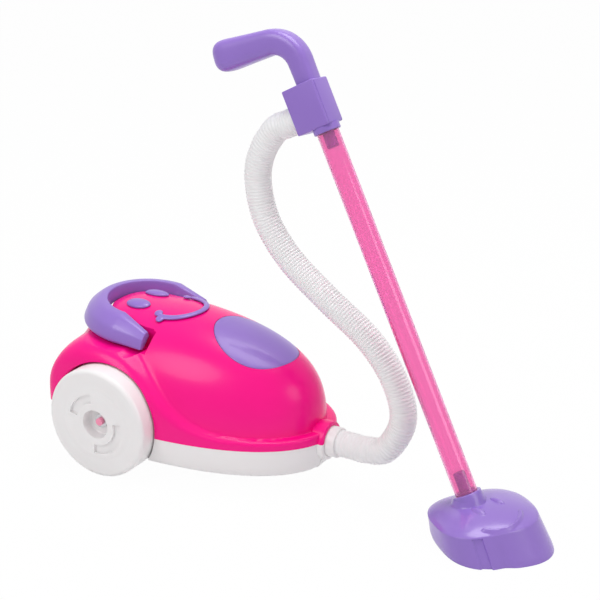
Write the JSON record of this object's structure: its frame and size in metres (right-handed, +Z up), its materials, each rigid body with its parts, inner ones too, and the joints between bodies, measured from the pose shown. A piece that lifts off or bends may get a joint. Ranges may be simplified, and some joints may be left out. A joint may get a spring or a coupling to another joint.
{
  "type": "toy vacuum cleaner",
  "caption": "Toy canister vacuum cleaner: domed body on rear wheels and a caster, folding carry handle, ribbed hose, leaning clear wand with cane grip and floor head.",
  "frame": {"origin": "on the floor, at the middle of the length from the body's tail to the floor head's front, and of the track of the rear wheels", "axes": "+X forward, from the rear wheels to the nose; +Y to the left; +Z up"},
  "size_m": [0.5605, 0.225, 0.4643],
  "materials": {
    "pink_shell": "glossy moulded ABS, hot pink",
    "white_plastic": "satin moulded polypropylene, white",
    "pink_rod": "moulded polypropylene rod, pink",
    "purple_plastic": "satin moulded ABS, lilac",
    "hose_plastic": "soft blow-moulded polyethylene, translucent white",
    "clear_tube": "clear extruded tube, tinted pink",
    "steel": "zinc-plated steel"
  },
  "bodies": {
    "canister": {"body_shell": "pink_shell", "base_pan": "white_plastic", "rear_axle": "pink_rod", "axle_clips": "steel", "handle_pins": "steel", "oval_panel": "purple_plastic", "eye_left": "purple_plastic", "eye_right": "purple_plastic", "smile": "purple_plastic", "port_cuff": "white_plastic", "base_screws": "steel", "hose": "hose_plastic"},
    "left_wheel": {"wheel_left": "white_plastic"},
    "right_wheel": {"wheel_right": "white_plastic"},
    "caster_swivel": {"caster_fork": "white_plastic", "caster_pin": "steel"},
    "caster_roller": {"caster_wheel": "white_plastic"},
    "handle": {"carry_handle": "purple_plastic"},
    "wand": {"handle_block": "purple_plastic", "block_cover": "purple_plastic", "block_screws": "steel", "cane_grip": "purple_plastic", "wand_tube": "clear_tube", "floor_head": "purple_plastic"}
  },
  "joints": [
    {"name": "left_wheel_spin", "type": "hinge", "parent": "canister", "child": "left_wheel", "pos_m": [-0.1935, 0, 0.06], "axis": [0, 1, 0], "continuous": true},
    {"name": "right_wheel_spin", "type": "hinge", "parent": "canister", "child": "right_wheel", "pos_m": [-0.1935, 0, 0.06], "axis": [0, 1, 0], "continuous": true},
    {"name": "caster_swivel_turn", "type": "hinge", "parent": "canister", "child": "caster_swivel", "pos_m": [-0.0355, 0, 0.018], "axis": [0, 0, 1], "continuous": true},
    {"name": "caster_roll", "type": "hinge", "parent": "caster_swivel", "child": "caster_roller", "pos_m": [-0.0415, 0, 0.0065], "axis": [0, 1, 0], "continuous": true},
    {"name": "carry_handle_lift", "type": "hinge", "parent": "canister", "child": "handle", "pos_m": [-0.1735, 0, 0.142], "axis": [0, 1, 0], "range_deg": [0, 90]},
    {"name": "wand_swing", "type": "hinge", "parent": "canister", "child": "wand", "pos_m": [0.036, 0, 0.048], "axis": [0, 0, 1], "range_deg": [-25, 25], "deforming": ["hose"]}
  ]
}
